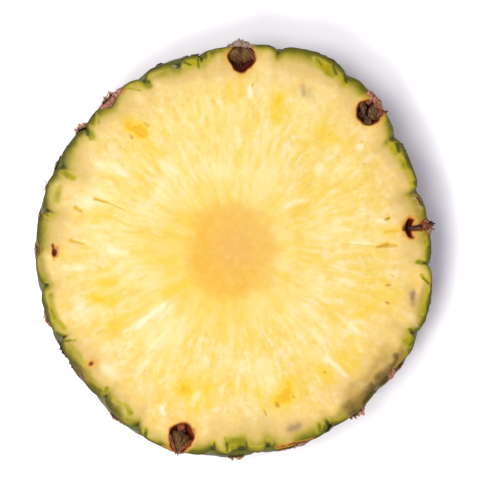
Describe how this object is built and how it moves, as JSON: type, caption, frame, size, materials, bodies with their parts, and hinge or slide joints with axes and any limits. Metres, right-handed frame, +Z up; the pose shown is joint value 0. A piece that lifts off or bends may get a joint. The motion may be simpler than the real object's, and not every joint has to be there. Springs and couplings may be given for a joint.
{
  "type": "pineapple slice",
  "caption": "Round slice cut straight across an unpeeled pineapple: scalloped green rind, pale yellow fibrous flesh, round orange core, dried blossom cups at the edge.",
  "frame": {"origin": "middle of the flat underside, on the surface that the slice rests on", "axes": "+Z up through the thickness and out of the upper cut face, which is the end nearer the fruit's crown; +X to the right and +Y away from someone who looks down on that face"},
  "size_m": [0.1095, 0.1143, 0.0152],
  "materials": {
    "fruit": "wet juicy flesh with a satin sheen, rough green and brown rind round the side"
  },
  "bodies": {
    "root": {"pineapple_slice": "fruit"}
  },
  "joints": []
}
